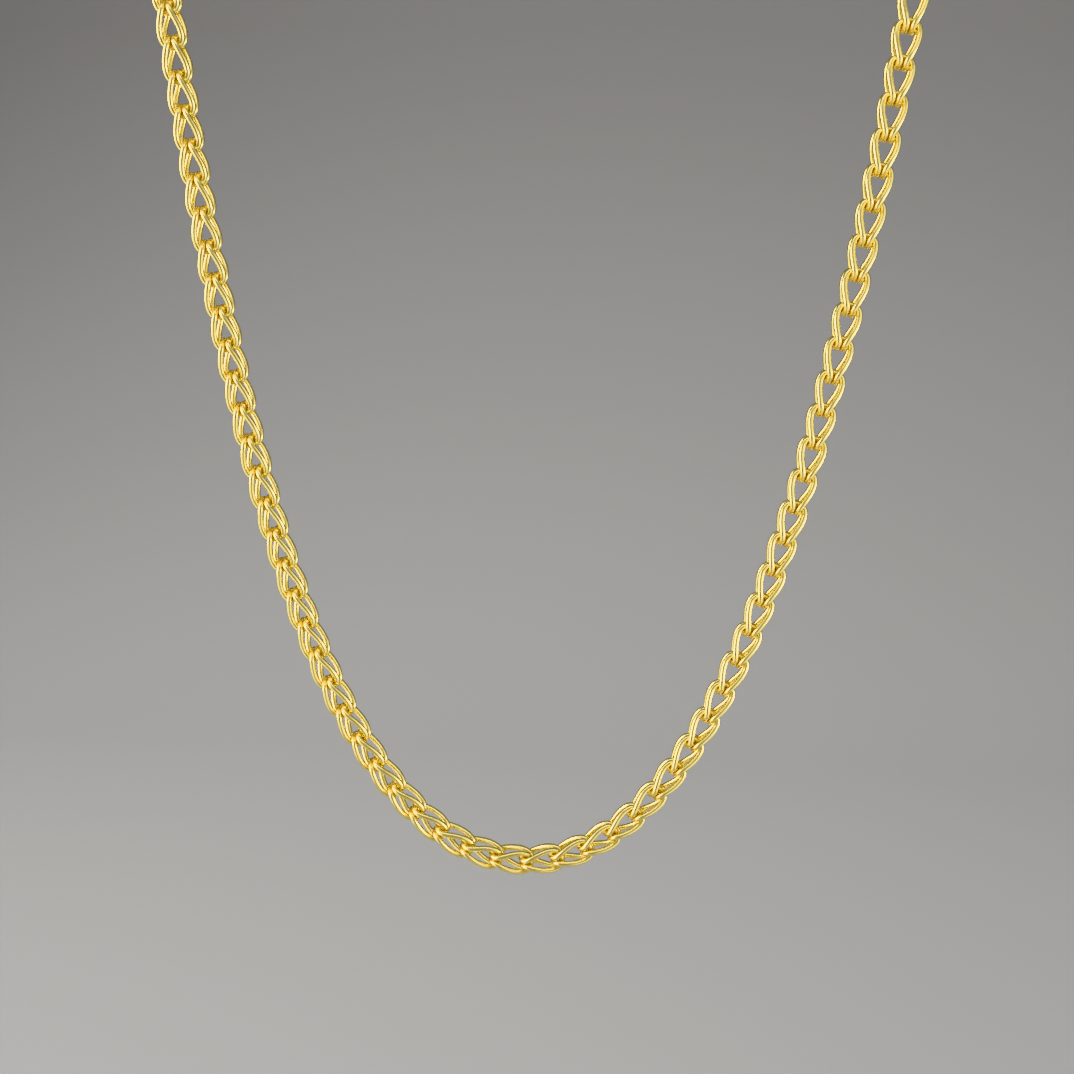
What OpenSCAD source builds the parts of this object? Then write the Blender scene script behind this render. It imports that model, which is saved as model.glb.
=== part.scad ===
// Loop-in-loop neck chain of round gold wire, closed at the nape by a barrel clasp.
//
// Each link is one fused wire ring. It is pinched in the middle and folded in two,
// so that its ends become two lobes, one in front of the other. The fold of the
// next link passes through both lobes, and so on round the whole necklace.
//
// The origin is at the nape of the neck, where the necklace hangs. +Z is up and
// the front of the necklace faces -Y. Millimetres throughout.

/* [Chain] */
// Number of links in the whole necklace
link_count = 108; // [100:2:110]
// Distance from one link to the next along the chain
link_pitch = 4.16; // [4.16:0.02:4.24]
// Diameter of the gold wire
wire_d = 0.7; // [0.66:0.01:0.7]

/* [Link] */
// Play between the end of a link and the next link's fold, wire to wire
link_play = 0.18; // [0.17:0.01:0.2]
// From the middle of a link to the centre of its wire at the fold
fold_half_w = 0.38; // [0.37:0.01:0.39]
// From the middle of a link to the centre of its wire where it is widest
belly_half_w = 1.43; // [1.42:0.01:1.46]
// Depth from the middle of a link to the centre of its wire at the fold
fold_half_depth = 1.46; // [1.45:0.01:1.5]
// The same depth at the widest place
belly_half_depth = 0.8; // [0.78:0.01:0.82]
// The same depth at the rounded end
end_half_depth = 0.4; // [0.38:0.01:0.4]

/* [Drape] */
// Radius of the chain's curve at its lowest point
drape_radius = 16.65; // [16.4:0.05:18]
// Radius of the turn from the front over the shoulder to the back
shoulder_radius = 20; // [20:1:24]

/* [Clasp] */
// Length of the barrel between its two rings
barrel_len = 10.4; // [8:0.2:12]
// Diameter of the barrel
barrel_d = 3.4; // [3:0.1:4]
// Wire diameter of the rings
ring_wire_d = 0.7; // [0.6:0.05:0.7]
// Radius of the rings, to the centre of their wire
ring_r = 1.55; // [1.55:0.05:1.7]

/* [Hidden] */

GOLD = [0.89, 0.72, 0.27];
// Sides of a link's wire
WIRE_SIDES = 6;
// Smoothness of the clasp, whose round faces are true circles
ROUND = 48;

link_len = link_pitch + wire_d + link_play;
end_half_w = 0.6 * belly_half_w;
belly_at = 0.815 * link_len;

// One quarter of a link's wire, from its end to its fold. The rest is mirrored.
// [along the link from its fold, half width, half depth]
QUARTER = [
  [link_len, end_half_w, end_half_depth],
  [belly_at, belly_half_w, belly_half_depth],
  [0, fold_half_w, fold_half_depth]
];
ALONG = 0;
WIDTH = 1;
DEPTH = 2;

// How far the links' near lobes turn toward the outside of the loop.
// [distance along the chain from its lowest point, turn in degrees]
TURN = [
  [-225, 0],
  [-128, 2],
  [-95, 4],
  [-65, 8],
  [-25, 14],
  [-10, 13],
  [20, 5],
  [128, 3],
  [225, 0]
];

// The clasp's rings hold the chain's ends: the first link by its fold, the last by
// both lobes. Distances are from a ring's centre to the wire that it holds.
ring_play = 0.14;
ring_outer_r = ring_r + ring_wire_d / 2;
ring_room = ring_r - ring_wire_d / 2 - wire_d / 2 - ring_play;
fold_to_ring = sqrt(pow(ring_room, 2) - pow(fold_half_w, 2));
lobe_to_ring = sqrt(pow(ring_room, 2) - pow(end_half_depth, 2));
barrel_sunk = 0.2;
clasp_half = barrel_len / 2 + ring_outer_r - barrel_sunk;

// The necklace as a loop, measured along the middle of the chain
chain_len = (link_count - 1) * link_pitch + link_len;
loop_half = (chain_len + fold_to_ring + lobe_to_ring) / 2 + clasp_half;
quarter_turn = PI / 2;

// Height and half width of the hanging front, by distance from its lowest point
function asinh(x) = ln(x + sqrt(x * x + 1));
function front_x(s) = drape_radius * asinh(s / drape_radius);
function front_z(s) = sqrt(pow(drape_radius, 2) + pow(s, 2)) - drape_radius;
function front_lean(s) = atan2(s, drape_radius);

// Length of one side of the front, so that front, shoulder turn and half the round
// of the neck add up to half the loop. Each pass brings it closer.
function neck_r(s) = front_x(s) + shoulder_radius * cos(front_lean(s));
function front_len(s, passes) =
  passes == 0 ? s
  : front_len(loop_half - quarter_turn * (shoulder_radius + neck_r(s)), passes - 1);

front_half = front_len(loop_half / 2, 12);
neck_radius = neck_r(front_half);
shoulder_len = quarter_turn * shoulder_radius;
lean = front_lean(front_half);
nape = [
  0,
  shoulder_radius + neck_radius,
  front_z(front_half) + shoulder_radius * sin(lean)
];

// Middle of the chain on the right side, at a distance from the lowest point
function front_at(s) = [front_x(s), 0, front_z(s)];
function shoulder_at(turn) =
  front_at(front_half)
  + shoulder_radius * (sin(turn) * [cos(lean), 0, sin(lean)] + (1 - cos(turn)) * [0, 1, 0]);
function neck_at(turn) =
  [neck_radius * cos(turn), shoulder_radius + neck_radius * sin(turn), nape[2]];
function side_at(s) =
  s < front_half ? front_at(s)
  : s < front_half + shoulder_len ? shoulder_at((s - front_half) / shoulder_len * 90)
  : neck_at((s - front_half - shoulder_len) / neck_radius * 180 / PI);

// The same on either side, from the nape. The left side has negative distances.
function chain_at(s) =
  let (p = side_at(abs(s)))
  [s < 0 ? -p[0] : p[0], p[1], p[2]] - nape;

// Direction that faces the viewer in front, and up on the round of the neck
function facing_at(s) =
  let (turn = min(90, max(0, (abs(s) - front_half) / shoulder_len * 90)))
  [0, -cos(turn), sin(turn)];

function unit(v) = v / norm(v);
function square_to(v, axis) = unit(v - (v * axis) * axis);

// A link swings on the one before it about a point this far ahead of its fold. In
// the turn over the shoulder it swings about the lobes that its legs straddle.
function swing_at(s) =
  (link_len - link_pitch)
  * lookup(abs(s) - front_half, [[-20, 0], [0, 1], [shoulder_len, 1], [shoulder_len + 20, 0]]);

// Frame of link i: its origin at the fold, then its directions of length,
// width and depth
function link_start(i) = -loop_half + clasp_half + fold_to_ring + i * link_pitch;
function link_frame(i) =
  let (
    s = link_start(i),
    swing = swing_at(s),
    pivot = chain_at(s + swing),
    along = unit(chain_at(s + swing + link_pitch) - pivot),
    fold = pivot - swing * along,
    facing = square_to(facing_at(s + link_pitch / 2), along),
    turn = lookup(s + link_pitch / 2, TURN),
    depth = cos(turn) * facing + sin(turn) * cross(along, facing)
  )
  [fold, along, cross(depth, along), depth];

// Corners of the whole ring of wire, once round: near side, then far side
function flip(p, w, d) = [p[ALONG], w * p[WIDTH], d * p[DEPTH]];
CORNERS = [
  for (k = [0:2]) flip(QUARTER[k], 1, 1),
  for (k = [2:-1:0]) flip(QUARTER[k], 1, -1),
  for (k = [0:2]) flip(QUARTER[k], -1, -1),
  for (k = [2:-1:0]) flip(QUARTER[k], -1, 1)
];
RINGS = len(CORNERS);

// Wire section at corner k, mitred so that both straight pieces keep their size
function corner(k) = CORNERS[(k + RINGS) % RINGS];
function wire_section(k) =
  let (
    p = corner(k),
    before = unit(p - corner(k - 1)),
    after = unit(corner(k + 1) - p),
    ahead = unit(before + after),
    inward = unit(after - before),
    stretch = 1 / (ahead * after) - 1,
    outward = square_to([p[ALONG] == 0 ? -1 : 0, 0, sign(p[DEPTH])], ahead),
    side = cross(ahead, outward)
  )
  [
    for (j = [0:WIRE_SIDES - 1])
      let (
        turn = j * 360 / WIRE_SIDES,
        q = wire_d / 2 * (cos(turn) * outward + sin(turn) * side)
      )
      p + q + stretch * (q * inward) * inward
  ];
SECTIONS = [for (k = [0:RINGS - 1]) wire_section(k)];
LINK_POINTS = RINGS * WIRE_SIDES;

function placed(frame, p) =
  frame[0] + p[ALONG] * frame[1] + p[WIDTH] * frame[2] + p[DEPTH] * frame[3];

// Two triangles for each side of each straight piece of wire in link number n
function link_faces(n) =
  [
    for (k = [0:RINGS - 1], j = [0:WIRE_SIDES - 1])
      let (
        base = n * LINK_POINTS,
        here = base + k * WIRE_SIDES,
        next = base + ((k + 1) % RINGS) * WIRE_SIDES,
        j2 = (j + 1) % WIRE_SIDES
      )
      each [[here + j, next + j, next + j2], [here + j, next + j2, here + j2]]
  ];

// A stretch of interlocked links that don't touch each other
module links(first, last) {
  frames = [for (i = [first:last]) link_frame(i)];
  polyhedron(
    points = [for (frame = frames, section = SECTIONS, p = section) placed(frame, p)],
    faces = [for (n = [0:last - first]) each link_faces(n)]
  );
}

module chain_left() {
  color(GOLD) links(0, link_count / 2 - 1);
}

module chain_right() {
  color(GOLD) links(link_count / 2, link_count - 1);
}

module ring() {
  rotate_extrude($fn = ROUND)
    translate([ring_r, 0]) circle(d = ring_wire_d, $fn = ROUND);
}

// Barrel with a taper at each end, along X
module barrel() {
  half = barrel_len / 2;
  taper = 0.3 * barrel_d;
  tip_r = 0.17 * barrel_d;
  rotate([0, 90, 0])
    rotate_extrude($fn = ROUND)
      polygon([
        [0, -half],
        [tip_r, -half],
        [barrel_d / 2, -half + taper],
        [barrel_d / 2, half - taper],
        [tip_r, half],
        [0, half]
      ]);
}

// Barrel clasp, soldered to a level ring for the first link's fold and an upright
// ring for the last link's lobes
module clasp() {
  first = link_frame(0);
  last = link_frame(link_count - 1);
  fold_ring = first[0] - fold_to_ring * first[1];
  lobe_ring = last[0] + (link_len + lobe_to_ring) * last[1];
  span = fold_ring - lobe_ring;
  color(GOLD)
    translate((fold_ring + lobe_ring) / 2)
      rotate([0, 0, atan2(span[1], span[0])]) {
        barrel();
        translate([norm(span) / 2, 0, 0]) ring();
        translate([-norm(span) / 2, 0, 0]) rotate([90, 0, 0]) ring();
      }
}

chain_left();
chain_right();
clasp();
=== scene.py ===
# %% [markdown]
# # A loop-in-loop gold neck chain
#
# Every link of this necklace is one ring of round gold wire. The goldsmith fuses
# the ring shut, pinches it in the middle and folds it in two, so that it becomes
# a hairpin with two lobes. The fold of the next link goes through both lobes, and
# so on round the neck.
#
# The notebook starts with the fixed frame: the imported CAD model that everything
# here has to fit.

# %% The frame
from math import asinh, atan2, cos, hypot, pi, radians, sin, sqrt

import bmesh
import bpy
from mathutils import Matrix, Vector


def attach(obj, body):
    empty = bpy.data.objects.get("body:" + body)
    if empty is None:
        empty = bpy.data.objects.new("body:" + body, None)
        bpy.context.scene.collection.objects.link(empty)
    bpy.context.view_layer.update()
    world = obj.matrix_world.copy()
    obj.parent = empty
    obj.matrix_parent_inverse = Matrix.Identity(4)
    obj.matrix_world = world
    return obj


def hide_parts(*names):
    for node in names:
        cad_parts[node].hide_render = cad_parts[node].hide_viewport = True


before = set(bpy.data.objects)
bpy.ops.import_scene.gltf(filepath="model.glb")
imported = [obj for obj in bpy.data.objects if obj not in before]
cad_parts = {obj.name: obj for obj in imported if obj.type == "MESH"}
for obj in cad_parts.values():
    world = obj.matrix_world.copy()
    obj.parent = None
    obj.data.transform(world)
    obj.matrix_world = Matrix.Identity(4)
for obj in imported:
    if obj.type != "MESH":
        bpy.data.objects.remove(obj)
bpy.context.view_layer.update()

print("CAD nodes:", sorted(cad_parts))

# %% [markdown]
# Goldsmiths work in millimetres and Blender in metres. The sizes below are in
# millimetres, and `MM` turns them into metres where a mesh or a light is made.
# The numbers are the ones that the CAD model was drawn from.

# %% Sizes of the necklace
MM = 0.001

LINK_COUNT = 108
LINK_PITCH = 4.16
WIRE_D = 0.7
LINK_LEN = 5.04
FOLD_HALF_W = 0.38
END_HALF_DEPTH = 0.4

DRAPE_RADIUS = 16.65
SHOULDER_RADIUS = 20

BARREL_LEN = 10.4
RING_WIRE_D = 0.7
RING_R = 1.55
RING_PLAY = 0.14
BARREL_SUNK = 0.2

print("links:", LINK_COUNT, "wire:", WIRE_D, "mm")

# %% [markdown]
# ## The path that the chain hangs on
#
# A chain that hangs from two points takes the shape of a catenary. This one does
# so in front, turns backwards over the shoulders, and lies round the neck behind.
#
# We could draw that curve by hand, but then the links' spacing would never come
# out right. The path is worked out from its length instead. `s` is always the
# distance along the chain from its lowest point, negative on the left.

# %% Lengths along the loop
FRONT_PASSES = 12

ring_room = RING_R - RING_WIRE_D / 2 - WIRE_D / 2 - RING_PLAY
fold_to_ring = sqrt(ring_room**2 - FOLD_HALF_W**2)
lobe_to_ring = sqrt(ring_room**2 - END_HALF_DEPTH**2)
clasp_half = BARREL_LEN / 2 + RING_R + RING_WIRE_D / 2 - BARREL_SUNK
chain_len = (LINK_COUNT - 1) * LINK_PITCH + LINK_LEN
loop_half = (chain_len + fold_to_ring + lobe_to_ring) / 2 + clasp_half


def front(s):
    """Half width and height of the hanging front."""
    return DRAPE_RADIUS * asinh(s / DRAPE_RADIUS), hypot(DRAPE_RADIUS, s) - DRAPE_RADIUS


def round_neck(s):
    """Radius of the chain round the neck, if the front ends at s."""
    return front(s)[0] + SHOULDER_RADIUS * cos(atan2(s, DRAPE_RADIUS))


# Each pass brings the front closer to what shoulders and neck leave of the loop
front_half = loop_half / 2
for _ in range(FRONT_PASSES):
    front_half = loop_half - pi / 2 * (SHOULDER_RADIUS + round_neck(front_half))
neck_radius = round_neck(front_half)
shoulder_len = pi / 2 * SHOULDER_RADIUS
lean = atan2(front_half, DRAPE_RADIUS)
shoulder_x, shoulder_z = front(front_half)
nape = Vector((0, SHOULDER_RADIUS + neck_radius, shoulder_z + SHOULDER_RADIUS * sin(lean)))
lowest = -nape

print("whole loop:", round(2 * loop_half), "mm; neck radius:", round(neck_radius, 1), "mm")


# %% [markdown]
# The path is a fine line of points. Each point also carries four facts that the
# links will need when they are laid on it: which way is the front, how far the
# link turns about its own length, how far ahead of its fold it swings, and how far
# it has slipped along the path. The slip is small: the links bunch at the bottom,
# where little weight pulls on them, and stretch apart on the way up. Blender keeps
# such facts as named attributes on the mesh.

# %% The path as a mesh
PATH_STEP = 0.4
SWING_RAMP = 20
TURN = [
    # distance, turn in degrees towards the outside of the loop
    (-225, 0), (-128, 0), (-95, 1), (-65, 5), (-42, 9), (-25, 10),
    (-10, 11), (5, 6), (20, 4), (60, 5), (128, 5), (225, 0),
]
SLIP = [
    # distance, slip along the path in millimetres
    (-215, 0), (-128, 0.8), (-100, 1.0), (-20, 1.0), (0, 0.7),
    (30, 0.2), (60, 0.2), (100, 0.5), (128, 0.6), (215, 0),
]


def read_table(table, x):
    """Straight-line reading of a table of (x, y)."""
    if x <= table[0][0]:
        return table[0][1]
    for (x0, y0), (x1, y1) in zip(table, table[1:]):
        if x <= x1:
            return y0 + (y1 - y0) * (x - x0) / (x1 - x0)
    return table[-1][1]


def path_point(s):
    """Middle of the chain at s, with the origin at the nape."""
    d = abs(s)
    side = -1 if s < 0 else 1
    if d < front_half:
        x, z = front(d)
        point = Vector((x, 0, z))
    elif d < front_half + shoulder_len:
        a = (d - front_half) / SHOULDER_RADIUS
        up = SHOULDER_RADIUS * sin(a)
        point = Vector((
            shoulder_x + up * cos(lean),
            SHOULDER_RADIUS * (1 - cos(a)),
            shoulder_z + up * sin(lean),
        ))
    else:
        a = (d - front_half - shoulder_len) / neck_radius
        point = Vector((neck_radius * cos(a), SHOULDER_RADIUS + neck_radius * sin(a), nape.z))
    point.x *= side
    return point - nape


def facing(s):
    """The front of the chain: towards us on the drape, upwards round the neck."""
    a = min(1, max(0, (abs(s) - front_half) / shoulder_len)) * pi / 2
    return Vector((0, -cos(a), sin(a)))


def swing(s):
    """How far ahead of its fold a link swings on the one before it."""
    ramp = [(-SWING_RAMP, 0), (0, 1), (shoulder_len, 1), (shoulder_len + SWING_RAMP, 0)]
    return (LINK_LEN - LINK_PITCH) * read_table(ramp, abs(s) - front_half)


def make_path():
    steps = round(2 * loop_half / PATH_STEP)
    places = [-loop_half + 2 * loop_half * i / steps for i in range(steps + 1)]
    mesh = bpy.data.meshes.new("chain_path")
    mesh.from_pydata(
        [path_point(s) * MM for s in places], [(i, i + 1) for i in range(steps)], []
    )
    facts = {
        "facing": ("FLOAT_VECTOR", "vector", [facing(s) for s in places]),
        "turn": ("FLOAT", "value", [radians(read_table(TURN, s)) for s in places]),
        "swing": ("FLOAT", "value", [swing(s) * MM for s in places]),
        "slip": ("FLOAT", "value", [read_table(SLIP, s) * MM for s in places]),
    }
    for name, (kind, field, values) in facts.items():
        layer = mesh.attributes.new(name, kind, "POINT")
        for cell, value in zip(layer.data, values):
            setattr(cell, field, value)
    return mesh


path_mesh = make_path()
print("path points:", len(path_mesh.vertices))
print("what each one carries:", [layer.name for layer in path_mesh.attributes])

# %% [markdown]
# ## Polished yellow gold
#
# The photograph shows a rich, high-carat yellow. Gold has no colour of its own
# apart from what it reflects: in a shader it is a full metal whose base colour
# tints every reflection. Polishing leaves it smooth but never a mirror, so the
# roughness is low and varies a little with fine wiping marks.
#
# Colours are written as the sRGB hex values that a colour picker shows. One
# function turns them into the linear values that the shader wants.

# %% Helpers for materials
GOLD = "#FAE694"
# Painted shade: a deeper gold for the folds and the ends of the links, where shade falls
GOLD_PAINTED_SHADE_IN_FOLDS = "#F3CF6E"


def linear(hex_colour):
    """An sRGB hex colour as a linear RGBA value."""
    parts = [int(hex_colour[i:i + 2], 16) / 255 for i in (1, 3, 5)]
    return tuple(c / 12.92 if c <= 0.04045 else ((c + 0.055) / 1.055) ** 2.4 for c in parts) + (1,)


def add(tree, kind, settings=None, **inputs):
    """Adds a node, sets it up, and fills or links its inputs by name or number (i0, i1...).

    A node given as an input is linked by its first output.
    """
    node = tree.nodes.new(kind)
    for name, value in (settings or {}).items():
        setattr(node, name, value)
    for name, value in inputs.items():
        key = int(name[1:]) if name[0] == "i" and name[1:].isdigit() else name.replace("_", " ")
        if isinstance(value, bpy.types.Node):
            value = next(output for output in value.outputs if output.enabled)
        if isinstance(value, bpy.types.NodeSocket):
            tree.links.new(value, node.inputs[key])
        else:
            node.inputs[key].default_value = value
    return node


def new_material(name):
    material = bpy.data.materials.new(name)
    material.use_nodes = True
    material.node_tree.nodes.clear()
    return material, material.node_tree


print("gold in linear light:", [round(c, 3) for c in linear(GOLD)[:3]])


# %% [markdown]
# The wire was drawn through a die and then polished by hand with a cloth. Drawing
# leaves faint lines along the wire, and the cloth can't reach into the folds, so
# the gold is duller there, and also where the rounded ends press on the next fold.
# In the same places its colour is painted a shade deeper: that is painted shade,
# for the shadow and the gold-on-gold reflections that fall in the folds. The link's
# mesh will carry two facts for this: `wire_uv`, which runs round and along the
# wire, and `hollow`, which is 0 in the open and rises towards the fold and the ends.

# %% Gold for the wire
DRAWN_LINES_ROUND_WIRE = 22
DRAWN_LINES_ALONG_WIRE = 1.2
WIPE_MARK_MM = 0.5
WIPES_IN_RELIEF = 0.6
WIRE_RELIEF_MM = 0.005
DULLER_IN_HOLLOWS = 0.25


def wiping_marks(tree):
    """Wiping marks and tiny dents all over a polished piece."""
    place = add(tree, "ShaderNodeTexCoord")
    return add(
        tree, "ShaderNodeTexNoise",
        Vector=place.outputs["Object"], Scale=1 / (WIPE_MARK_MM * MM), Detail=3.0, Roughness=0.55,
    )


def polished_wire_gold():
    material, tree = new_material("polished_yellow_gold_wire")
    wire = add(tree, "ShaderNodeAttribute", {"attribute_name": "wire_uv"})
    hollow = add(tree, "ShaderNodeAttribute", {"attribute_name": "hollow"})

    # Drawn lines: noise that is stretched along the wire. Real ones are finer
    # than a pixel, so these are drawn just coarse enough to show.
    stretched = add(
        tree, "ShaderNodeMapping", {"vector_type": "POINT"},
        Vector=wire.outputs["Vector"], Scale=(DRAWN_LINES_ROUND_WIRE, DRAWN_LINES_ALONG_WIRE, 1),
    )
    lines = add(
        tree, "ShaderNodeTexNoise", {"noise_dimensions": "2D"},
        Vector=stretched.outputs["Vector"], Scale=1.0, Detail=2.0, Roughness=0.6,
    )
    wipes = wiping_marks(tree)
    gloss = add(
        tree, "ShaderNodeMapRange",
        Value=wipes.outputs["Fac"], From_Min=0.3, From_Max=0.7, To_Min=0.20, To_Max=0.26,
    )
    dulled = add(
        tree, "ShaderNodeMath", {"operation": "MULTIPLY_ADD"},
        i0=hollow.outputs["Fac"], i1=DULLER_IN_HOLLOWS, i2=gloss,
    )
    # Painted shade: the colour is mixed towards a deeper gold where `hollow` rises, in the folds
    # and at the ends
    tint = add(
        tree, "ShaderNodeMix", {"data_type": "RGBA"},
        i0=hollow.outputs["Fac"], i6=linear(GOLD), i7=linear(GOLD_PAINTED_SHADE_IN_FOLDS),
    )
    relief = add(
        tree, "ShaderNodeMath", {"operation": "MULTIPLY_ADD"},
        i0=wipes.outputs["Fac"], i1=WIPES_IN_RELIEF, i2=lines.outputs["Fac"],
    )
    bump = add(
        tree, "ShaderNodeBump",
        Strength=0.12, Distance=WIRE_RELIEF_MM * MM, Height=relief.outputs["Value"],
    )
    metal = add(
        tree, "ShaderNodeBsdfPrincipled",
        Metallic=1.0, Base_Color=tint.outputs["Result"],
        Roughness=dulled.outputs["Value"], Normal=bump.outputs["Normal"],
    )
    add(tree, "ShaderNodeOutputMaterial", Surface=metal.outputs["BSDF"])
    return material


wire_gold = polished_wire_gold()
print("material:", wire_gold.name, "with", len(wire_gold.node_tree.nodes), "nodes")

# %% [markdown]
# ## One link
#
# The link's shape is a closed curve in space. It is symmetrical both ways, so one
# quarter of it says everything: from the fold, where the wire runs from the front
# lobe to the back one, up along a leg that swells outwards, to the rounded end.
# A smooth curve goes through those few points, and a round section is swept
# along it.
#
# Blender can sweep a curve object too. Here the sweep is done in mesh code, so
# that the two facts for the gold can be written at each point of the wire.
#
# The real wire is a little thicker than the CAD model's. The model draws it thin
# and straight-sided, to keep its rigid links clear of one another.

# %% The curve of a link
POLISHED_WIRE_D = 0.76
QUARTER = [
    # along the link, half width, half depth
    (0.00, 0.41, 0.00),
    (0.10, 0.41, 0.50),
    (0.36, 0.41, 0.92),
    (0.75, 0.44, 1.20),
    (1.25, 0.63, 1.30),
    (1.95, 0.90, 1.22),
    (2.90, 1.22, 1.00),
    (3.95, 1.37, 0.70),
    (4.82, 1.20, 0.45),
    (5.26, 0.68, 0.40),
    (5.34, 0.00, 0.39),
]
WIRE_SIDES = 16
STEPS_PER_SPAN = 2
HOLLOWS = [
    # along the link, how far it reaches
    (0.3, 1.3),
    (5.3, 1.1),
]
HOLLOW_DEPTH_SHARE = 0.6


def whole_link():
    """The quarter, mirrored into the whole closed curve."""
    there, back = QUARTER, QUARTER[::-1]
    signed = [(there, 1, 1), (back[1:], -1, 1), (there[1:], -1, -1), (back[1:-1], 1, -1)]
    return [
        Vector((along, w * half_w, d * depth))
        for part, w, d in signed for along, half_w, depth in part
    ]


def smooth_closed(points, steps):
    """A closed curve through the points (Catmull-Rom, spaced by distance)."""
    n, out = len(points), []
    for i in range(n):
        p = [points[(i + k - 1) % n] for k in range(4)]
        t = [0.0]
        for a, b in zip(p, p[1:]):
            t.append(t[-1] + (b - a).length ** 0.5)
        for j in range(steps):
            x = t[1] + (t[2] - t[1]) * j / steps
            a = [p[k].lerp(p[k + 1], (x - t[k]) / (t[k + 1] - t[k])) for k in range(3)]
            b = [a[k].lerp(a[k + 1], (x - t[k]) / (t[k + 2] - t[k])) for k in range(2)]
            out.append(b[0].lerp(b[1], (x - t[1]) / (t[2] - t[1])))
    return out


link_curve = smooth_closed(whole_link(), STEPS_PER_SPAN)
print("points on the link's curve:", len(link_curve))


# %% The wire of a link
def sweep_wire(curve, radius, sides):
    """A closed wire round a closed curve, as rings of points."""
    n = len(curve)
    ahead = [(curve[(i + 1) % n] - curve[i - 1]).normalized() for i in range(n)]
    # Carry one direction along the curve, then share out what is left at the end
    outward = [Vector((1, 0, 0)).cross(ahead[0]).normalized()]
    for i in range(1, n + 1):
        before = outward[-1]
        here = ahead[i % n]
        outward.append((before - before.dot(here) * here).normalized())
    closing = outward[0].cross(ahead[0])
    left_over = atan2(outward[n].dot(closing), outward[n].dot(outward[0]))
    rings = []
    for i in range(n):
        twisted = Matrix.Rotation(left_over * i / n, 3, ahead[i]) @ outward[i]
        side = ahead[i].cross(twisted)
        rings.append([
            curve[i] + radius * (cos(a) * twisted + sin(a) * side)
            for a in (2 * pi * j / sides for j in range(sides))
        ])
    return rings


def shade_smooth(mesh):
    mesh.polygons.foreach_set("use_smooth", [True] * len(mesh.polygons))


def link_mesh():
    rings = sweep_wire(link_curve, POLISHED_WIRE_D / 2, WIRE_SIDES)
    n, m = len(rings), WIRE_SIDES
    faces = [
        (i * m + j, ((i + 1) % n) * m + j, ((i + 1) % n) * m + (j + 1) % m, i * m + (j + 1) % m)
        for i in range(n) for j in range(m)
    ]
    mesh = bpy.data.meshes.new("one_link")
    mesh.from_pydata([p * MM for ring in rings for p in ring], [], faces)
    wire_uv = mesh.attributes.new("wire_uv", "FLOAT_VECTOR", "POINT")
    for k, place in enumerate(wire_uv.data):
        place.vector = (k % m / m, k // m / n, 0)
    hollow = mesh.attributes.new("hollow", "FLOAT", "POINT")
    for p, place in zip((p for ring in rings for p in ring), hollow.data):
        place.value = max(0, *(
            1 - hypot(p.x - along, p.y, HOLLOW_DEPTH_SHARE * p.z) / reach
            for along, reach in HOLLOWS
        ))
    shape = bmesh.new()
    shape.from_mesh(mesh)
    bmesh.ops.recalc_face_normals(shape, faces=shape.faces)
    shape.to_mesh(mesh)
    shape.free()
    shade_smooth(mesh)
    mesh.materials.append(wire_gold)
    return mesh


link_object = bpy.data.objects.new("one_link", link_mesh())
print("faces in one link:", len(link_object.data.polygons))

# %% [markdown]
# ## Laying the links on the path
#
# Copies of one shape along a curve are what Geometry Nodes are for. The tree
# below measures its way along the path. For each link it reads two points on the
# path, which give the fold's place and the link's direction, and turns the link
# about that direction by the path's own `turn`. A link made by hand never sits
# quite like its neighbour, so a small random turn is added, from a fixed seed.
#
# The tree ends by making the copies real and giving them their gold, because an
# instance is lost when the model is exported.

# %% The tree that lays links
def input_sockets(tree, sockets):
    """Adds the group's named inputs, and its geometry input and output."""
    tree.interface.new_socket("Geometry", in_out="OUTPUT", socket_type="NodeSocketGeometry")
    tree.interface.new_socket("Geometry", in_out="INPUT", socket_type="NodeSocketGeometry")
    for name, kind in sockets:
        tree.interface.new_socket(name, in_out="INPUT", socket_type="NodeSocket" + kind)


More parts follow.
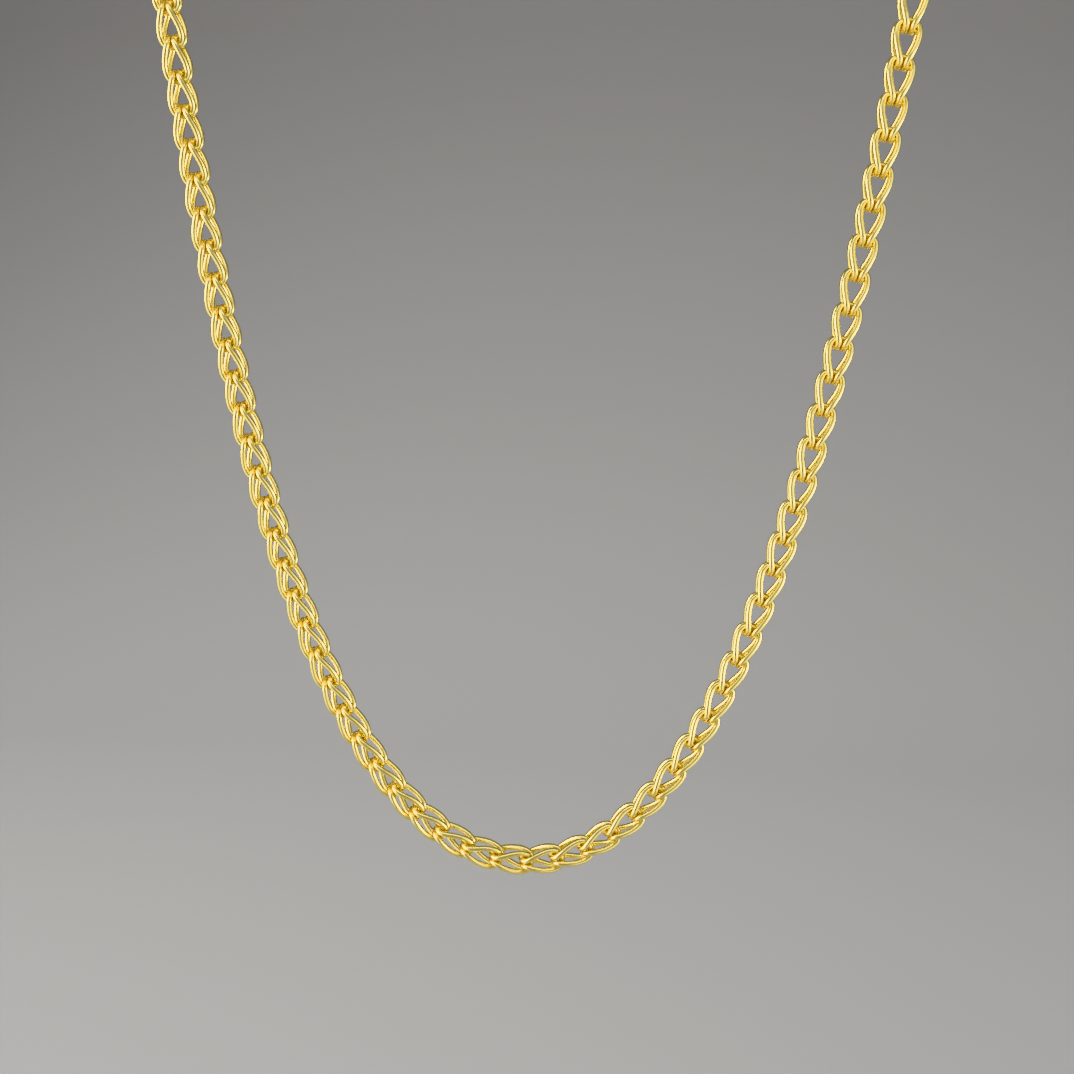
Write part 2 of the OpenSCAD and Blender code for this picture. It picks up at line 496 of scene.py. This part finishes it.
def links_tree():
    tree = bpy.data.node_groups.new("lay_links", "GeometryNodeTree")
    input_sockets(tree, [
        ("Link", "Object"), ("Count", "Int"), ("Start", "Float"), ("Pitch", "Float"),
        ("Uneven", "Float"), ("Seed", "Int"), ("Gold", "Material"),
    ])
    given = add(tree, "NodeGroupInput").outputs
    path = add(tree, "GeometryNodeMeshToCurve", Mesh=given["Geometry"])
    numbers = {"mode": "LENGTH", "data_type": "FLOAT", "use_all_curves": False}
    vectors = {"mode": "LENGTH", "data_type": "FLOAT_VECTOR", "use_all_curves": False}

    # Distance of each link's fold and of its middle along the path
    number = add(tree, "GeometryNodeInputIndex")
    even = add(
        tree, "ShaderNodeMath", {"operation": "MULTIPLY_ADD"},
        i0=number, i1=given["Pitch"], i2=given["Start"],
    )
    slip_fact = add(tree, "GeometryNodeInputNamedAttribute", {"data_type": "FLOAT"}, Name="slip")
    slipped = add(
        tree, "GeometryNodeSampleCurve", numbers, Curves=path, Length=even, Value=slip_fact
    ).outputs["Value"]
    distance = add(tree, "ShaderNodeMath", {"operation": "ADD"}, i0=even, i1=slipped)
    middle = add(
        tree, "ShaderNodeMath", {"operation": "MULTIPLY_ADD"},
        i0=given["Pitch"], i1=0.5, i2=distance,
    )

    # The link points from its pivot to the next link's, and its fold lies behind the pivot
    swing_fact = add(tree, "GeometryNodeInputNamedAttribute", {"data_type": "FLOAT"}, Name="swing")
    ahead_by = add(
        tree, "GeometryNodeSampleCurve", numbers, Curves=path, Length=distance, Value=swing_fact
    ).outputs["Value"]
    pivot_at = add(tree, "ShaderNodeMath", {"operation": "ADD"}, i0=distance, i1=ahead_by)
    next_at = add(tree, "ShaderNodeMath", {"operation": "ADD"}, i0=pivot_at, i1=given["Pitch"])
    pivot = add(
        tree, "GeometryNodeSampleCurve", numbers, Curves=path, Length=pivot_at
    ).outputs["Position"]
    goal = add(
        tree, "GeometryNodeSampleCurve", numbers, Curves=path, Length=next_at
    ).outputs["Position"]
    way = add(tree, "ShaderNodeVectorMath", {"operation": "SUBTRACT"}, i0=goal, i1=pivot)
    along = add(tree, "ShaderNodeVectorMath", {"operation": "NORMALIZE"}, i0=way)
    back = add(tree, "ShaderNodeVectorMath", {"operation": "SCALE"}, i0=along, Scale=ahead_by)
    fold = add(tree, "ShaderNodeVectorMath", {"operation": "SUBTRACT"}, i0=pivot, i1=back)

    # Its front lobe faces the path's front, give or take its turn
    facing_fact = add(
        tree, "GeometryNodeInputNamedAttribute", {"data_type": "FLOAT_VECTOR"}, Name="facing"
    )
    front_way = add(
        tree, "GeometryNodeSampleCurve", vectors, Curves=path, Length=middle, Value=facing_fact
    ).outputs["Value"]
    turn_fact = add(tree, "GeometryNodeInputNamedAttribute", {"data_type": "FLOAT"}, Name="turn")
    laid_turn = add(
        tree, "GeometryNodeSampleCurve", numbers, Curves=path, Length=middle, Value=turn_fact
    ).outputs["Value"]
    chance = add(
        tree, "FunctionNodeRandomValue", {"data_type": "FLOAT"},
        i2=-1.0, i3=1.0, ID=number, Seed=given["Seed"],
    )
    turn = add(
        tree, "ShaderNodeMath", {"operation": "MULTIPLY_ADD"},
        i0=chance, i1=given["Uneven"], i2=laid_turn,
    )
    depth = add(
        tree, "ShaderNodeVectorRotate", {"rotation_type": "AXIS_ANGLE"},
        Vector=front_way, Axis=along, Angle=turn,
    )
    pose = add(
        tree, "FunctionNodeAxesToRotation", {"primary_axis": "X", "secondary_axis": "Z"},
        Primary_Axis=along, Secondary_Axis=depth,
    )

    points = add(tree, "GeometryNodePoints", Count=given["Count"], Position=fold)
    shape = add(tree, "GeometryNodeObjectInfo", Object=given["Link"]).outputs["Geometry"]
    copies = add(
        tree, "GeometryNodeInstanceOnPoints", Points=points, Instance=shape, Rotation=pose
    )
    real = add(tree, "GeometryNodeRealizeInstances", Geometry=copies)
    golden = add(tree, "GeometryNodeSetMaterial", Geometry=real, Material=given["Gold"])
    add(tree, "NodeGroupOutput", Geometry=golden)
    return tree


lay_links = links_tree()
print("nodes in the tree:", len(lay_links.nodes))

# %% [markdown]
# The necklace is two runs of links that meet at the lowest point, as in the CAD
# model. Both use the same tree with another start. A modifier knows its inputs
# by their identifiers, so the helper looks those up by name. The result becomes
# a plain mesh, which stands for the CAD links from here on.

# %% The two runs of links
UNEVEN_TURN_DEGREES = 1.2


def put_in_scene(name, data):
    """A new object in the scene for a mesh, a light or a camera."""
    thing = bpy.data.objects.new(name, data)
    bpy.context.scene.collection.objects.link(thing)
    return thing


def run_tree(name, mesh, tree, values):
    """Evaluates a tree on a mesh and keeps the result as a plain object."""
    source = put_in_scene(name + "_source", mesh)
    modifier = source.modifiers.new("tree", "NODES")
    modifier.node_group = tree
    names = {s.name: s.identifier for s in tree.interface.items_tree if s.in_out == "INPUT"}
    for key, value in values.items():
        modifier[names[key]] = value
    bpy.context.view_layer.update()
    evaluated = source.evaluated_get(bpy.context.evaluated_depsgraph_get())
    done = bpy.data.meshes.new_from_object(evaluated)
    done.name = name
    source.modifiers.remove(modifier)
    bpy.data.objects.remove(source)
    return put_in_scene(name, done)


def lay_run(name, node, first, seed):
    start = clasp_half + fold_to_ring + first * LINK_PITCH
    piece = run_tree(name, path_mesh, lay_links, {
        "Link": link_object, "Count": LINK_COUNT // 2, "Start": start * MM,
        "Pitch": LINK_PITCH * MM, "Uneven": radians(UNEVEN_TURN_DEGREES), "Seed": seed,
        "Gold": wire_gold,
    })
    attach(piece, "root")
    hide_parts(node)
    print(name, "has", len(piece.data.polygons), "faces")


lay_run("looped_links_left", "chain_left", first=0, seed=3)
lay_run("looped_links_right", "chain_right", first=LINK_COUNT // 2, seed=8)

# %% [markdown]
# ## The barrel clasp
#
# The photograph doesn't show how the necklace closes. Handmade chains of this
# kind usually close with a small turned barrel: two halves that screw together,
# each with a ring soldered to its end. A lathe makes it, so we make it as a lathe
# does, from a profile that is spun round an axis. The halves are screwed together
# here, so the whole clasp is one piece.
#
# Turned gold is buffed on the lathe and comes out smoother than the wire, so its
# reflections are a little sharper.

# %% Gold for turned parts
TURNED_RELIEF_MM = 0.01


def turned_gold():
    material, tree = new_material("polished_yellow_gold_turned")
    wipes = wiping_marks(tree)
    gloss = add(
        tree, "ShaderNodeMapRange",
        Value=wipes.outputs["Fac"], From_Min=0.3, From_Max=0.7, To_Min=0.14, To_Max=0.24,
    )
    bump = add(
        tree, "ShaderNodeBump",
        Strength=0.2, Distance=TURNED_RELIEF_MM * MM, Height=wipes.outputs["Fac"],
    )
    metal = add(
        tree, "ShaderNodeBsdfPrincipled",
        Metallic=1.0, Base_Color=linear(GOLD),
        Roughness=gloss.outputs["Result"], Normal=bump.outputs["Normal"],
    )
    add(tree, "ShaderNodeOutputMaterial", Surface=metal.outputs["BSDF"])
    return material


barrel_gold = turned_gold()
print("material:", barrel_gold.name)

# %% The turned profile
BARREL_PROFILE = [
    # along from the middle, radius
    (0.00, 1.52), (0.06, 1.60), (0.16, 1.66), (0.40, 1.70), (0.60, 1.70), (0.68, 1.64),
    (0.78, 1.64), (0.86, 1.70), (3.10, 1.70), (3.20, 1.62), (3.36, 1.62), (3.46, 1.70),
    (3.90, 1.70), (4.10, 1.66), (4.40, 1.44), (4.75, 1.14), (5.00, 0.86), (5.14, 0.66),
    (5.20, 0.50), (5.20, 0.00),
]
TURNED_SIDES = 48
RING_STEPS = 48
RING_SIDES = 16
SHARP_FROM_DEGREES = 30


def spin_profile(profile, sides):
    """A closed mesh from a mirrored profile that is spun round X."""
    mirrored = [(-x, r) for x, r in profile[:0:-1]] + list(profile)
    shape = bmesh.new()
    rings = []
    for x, r in mirrored:
        if r == 0:
            rings.append([shape.verts.new((x * MM, 0, 0))])
        else:
            rings.append([
                shape.verts.new((x * MM, r * MM * cos(a), r * MM * sin(a)))
                for a in (2 * pi * j / sides for j in range(sides))
            ])
    for a, b in zip(rings, rings[1:]):
        for j in range(sides):
            k = (j + 1) % sides
            if len(a) == 1:
                shape.faces.new((a[0], b[j], b[k]))
            elif len(b) == 1:
                shape.faces.new((a[j], b[0], a[k]))
            else:
                shape.faces.new((a[j], b[j], b[k], a[k]))
    return shape


def ring_curve(upright):
    """A circle of points for a ring, lying level or standing upright."""
    angles = [2 * pi * i / RING_STEPS for i in range(RING_STEPS)]
    circle = [(RING_R * cos(a), RING_R * sin(a)) for a in angles]
    return [Vector((x, 0, y)) if upright else Vector((x, y, 0)) for x, y in circle]


# %% The clasp in its place
def link_ends(i):
    """Fold and direction of link i, as the tree lays it."""
    s = -loop_half + clasp_half + fold_to_ring + i * LINK_PITCH
    ahead_by = swing(s)
    pivot = path_point(s + ahead_by)
    along = (path_point(s + ahead_by + LINK_PITCH) - pivot).normalized()
    return pivot - ahead_by * along, along


def make_clasp():
    fold, along = link_ends(0)
    fold_ring = fold - fold_to_ring * along
    fold, along = link_ends(LINK_COUNT - 1)
    lobe_ring = fold + (LINK_LEN + lobe_to_ring) * along
    span = fold_ring - lobe_ring

    shape = spin_profile(BARREL_PROFILE, TURNED_SIDES)
    for side, upright in ((1, False), (-1, True)):
        rings = sweep_wire(ring_curve(upright), RING_WIRE_D / 2, RING_SIDES)
        centre = Vector((side * span.length / 2, 0, 0))
        loops = [[shape.verts.new((p + centre) * MM) for p in ring] for ring in rings]
        for i in range(len(loops)):
            a, b = loops[i], loops[(i + 1) % len(loops)]
            for j in range(RING_SIDES):
                k = (j + 1) % RING_SIDES
                shape.faces.new((a[j], b[j], b[k], a[k]))
    bmesh.ops.recalc_face_normals(shape, faces=shape.faces)
    turn = Matrix.Rotation(atan2(span.y, span.x), 4, "Z")
    middle = Matrix.Translation((fold_ring + lobe_ring) / 2 * MM)
    bmesh.ops.transform(shape, matrix=middle @ turn, verts=shape.verts)
    mesh = bpy.data.meshes.new("barrel_clasp")
    shape.to_mesh(mesh)
    shape.free()
    shade_smooth(mesh)
    mesh.set_sharp_from_angle(angle=radians(SHARP_FROM_DEGREES))
    mesh.materials.append(barrel_gold)
    piece = put_in_scene("barrel_clasp", mesh)
    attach(piece, "root")
    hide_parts("clasp")
    return piece


clasp = make_clasp()
print("clasp faces:", len(clasp.data.polygons))

# %% [markdown]
# ## The studio
#
# The necklace hangs in front of a plain grey sweep: a pale floor that curves up
# into a wall, so that no edge shows. It stands well away from the necklace. Its
# grey is painted lighter towards the floor and darker up the wall: that is painted
# light and shade, for the way the studio light falls off up the sweep. It is matt
# paper, which has no gloss, so the eye sees only its soft shade.
#
# The studio is much bigger than the necklace, so its sizes are in metres.

# %% Sweep
FLOOR_Z = -0.30
SWEEP_RADIUS = 0.6
WALL_Y = 1.1
SWEEP_HALF_W = 2.5
WALL_TOP = 2.2
FLOOR_FRONT = -2.5
CURVE_STEPS = 32
DARK_FROM_Z = 0.14
SHADE_POWER = 0.7
PAPER_PAINTED_LIGHT_AT_FLOOR = "#A6A5A3"
PAPER_PAINTED_SHADE_ABOVE = "#858381"


def sweep_material():
    material, tree = new_material("matt_grey_paper_painted_shade")
    place = add(tree, "ShaderNodeTexCoord")
    parts = add(tree, "ShaderNodeSeparateXYZ", Vector=place.outputs["Object"])
    # Painted light and shade: the grey is mixed from lighter at the floor to darker up the wall
    height = add(
        tree, "ShaderNodeMapRange",
        Value=parts.outputs["Z"], From_Min=FLOOR_Z, From_Max=DARK_FROM_Z, To_Min=0.0, To_Max=1.0,
    )
    eased = add(tree, "ShaderNodeMath", {"operation": "POWER"}, i0=height, i1=SHADE_POWER)
    shade = add(
        tree, "ShaderNodeMix", {"data_type": "RGBA"},
        i0=eased, i6=linear(PAPER_PAINTED_LIGHT_AT_FLOOR), i7=linear(PAPER_PAINTED_SHADE_ABOVE),
    )
    paper = add(
        tree, "ShaderNodeBsdfPrincipled", Base_Color=shade.outputs["Result"], Roughness=0.9
    )
    add(tree, "ShaderNodeOutputMaterial", Surface=paper.outputs["BSDF"])
    return material


def make_sweep():
    profile = [(FLOOR_FRONT, FLOOR_Z)]
    for i in range(CURVE_STEPS + 1):
        a = pi / 2 * i / CURVE_STEPS
        profile.append((
            WALL_Y - SWEEP_RADIUS + SWEEP_RADIUS * sin(a),
            FLOOR_Z + SWEEP_RADIUS * (1 - cos(a)),
        ))
    profile.append((WALL_Y, WALL_TOP))
    points = [(x, y, z) for y, z in profile for x in (-SWEEP_HALF_W, SWEEP_HALF_W)]
    faces = [(2 * i, 2 * i + 1, 2 * i + 3, 2 * i + 2) for i in range(len(profile) - 1)]
    mesh = bpy.data.meshes.new("sweep")
    mesh.from_pydata(points, [], faces)
    shade_smooth(mesh)
    mesh.materials.append(sweep_material())
    sweep = put_in_scene("sweep", mesh)
    return sweep


sweep = make_sweep()
print("sweep points:", len(sweep.data.vertices))

# %% [markdown]
# Round polished wire shows its whole surroundings as lines that run along it. In
# the photograph each wire has two bright lines with a thin dark one between. They
# are a large soft light on either side, and the gap between them where the camera
# stands.
#
# Here each side has a strong softbox further off, which makes the bright line, and
# a dim card close by, which widens it towards the middle of the wire. A weaker
# softbox in front and above lights the wires at the bottom of the drape, which lie
# level. Two more lights are for the sweep alone. They stay out of the gold's
# reflections, where a real studio would hide them with flags.

# %% Lights
DRAPE_MIDDLE_UP = 55


def soft_light(name, place, size, power, target=None, in_gold=True):
    """An area light that points at the middle of the drape, or at another target."""
    light = bpy.data.lights.new(name, "AREA")
    light.shape = "RECTANGLE"
    light.size, light.size_y = size
    light.energy = power
    lamp = put_in_scene(name, light)
    lamp.location = place
    aim = Vector(target or drape_middle) - Vector(place)
    lamp.rotation_euler = aim.to_track_quat("-Z", "Y").to_euler()
    lamp.visible_camera = False
    lamp.visible_glossy = in_gold


drape_middle = (lowest + Vector((0, 0, DRAPE_MIDDLE_UP))) * MM
soft_light("left_softbox", (-0.62, -0.35, -0.06), (0.4, 0.7), 5.7)
soft_light("right_softbox", (0.62, -0.30, -0.16), (0.4, 0.26), 2.1)
soft_light("left_card", (-0.13, -0.131, -0.09), (0.16, 0.34), 0.10)
soft_light("right_card", (0.13, -0.141, -0.10), (0.18, 0.32), 0.11)
soft_light("top_softbox", (0.0, -0.45, 0.50), (0.8, 0.2), 1.0)
soft_light("floor_light", (-0.35, 0.25, 0.6), (0.6, 0.6), 4.7, (-0.05, 0.35, -0.3), in_gold=False)
soft_light("wall_light", (0.35, 0.45, 0.9), (0.6, 0.6), 3.2, (0.15, 1.05, 0.1), in_gold=False)

world = bpy.data.worlds.new("dim_studio")
bpy.context.scene.world = world
world.use_nodes = True
room = world.node_tree.nodes["Background"]
room.inputs["Color"].default_value = linear("#C8C8C8")
room.inputs["Strength"].default_value = 0.72

# %% [markdown]
# ## The camera
#
# The camera stands about 20 cm in front of the necklace, a little to its right
# and a little above, and looks slightly down, as in the photograph.

# %% Camera
CAMERA_DISTANCE = 200
CAMERA_DOWN = radians(10.0)
CAMERA_RIGHT = radians(6.3)
CAMERA_ROLL = radians(0.82)
AIM_FROM_LOWEST = Vector((1.67, 0, 43.48))
PIXELS_PER_MM = 7.851
PICTURE_PIXELS = 1074
FOCAL_SHARE = PIXELS_PER_MM * CAMERA_DISTANCE / PICTURE_PIXELS
SENSOR = 36


def make_camera():
    target = (lowest + AIM_FROM_LOWEST) * MM
    ahead = Vector((
        -sin(CAMERA_RIGHT) * cos(CAMERA_DOWN),
        cos(CAMERA_RIGHT) * cos(CAMERA_DOWN),
        -sin(CAMERA_DOWN),
    ))
    right = Vector((cos(CAMERA_RIGHT), sin(CAMERA_RIGHT), 0))
    up = right.cross(ahead)
    right, up = (
        cos(CAMERA_ROLL) * right + sin(CAMERA_ROLL) * up,
        cos(CAMERA_ROLL) * up - sin(CAMERA_ROLL) * right,
    )
    lens = bpy.data.cameras.new("camera")
    lens.sensor_width = SENSOR
    lens.lens = FOCAL_SHARE * SENSOR
    lens.clip_start = 0.01
    camera = put_in_scene("camera", lens)
    axes = Matrix((right, up, -ahead)).transposed().to_4x4()
    camera.matrix_world = Matrix.Translation(target - CAMERA_DISTANCE * MM * ahead) @ axes
    bpy.context.scene.camera = camera
    return camera


camera = make_camera()
print("lens:", round(camera.data.lens, 1), "mm; camera at", [round(c, 3) for c in camera.location])

# %% [markdown]
# A view transform turns the light that reaches the camera into the picture's
# colours. The usual filmic kind greys strong colours as they get bright, and would
# take the yellow out of gold. A neutral one keeps a product's colours as its
# materials have them, and only eases the very brightest ones towards white.

# %% View of the colours
view = bpy.context.scene.view_settings
view.view_transform = "Khronos PBR Neutral"
print("exposure:", view.exposure)
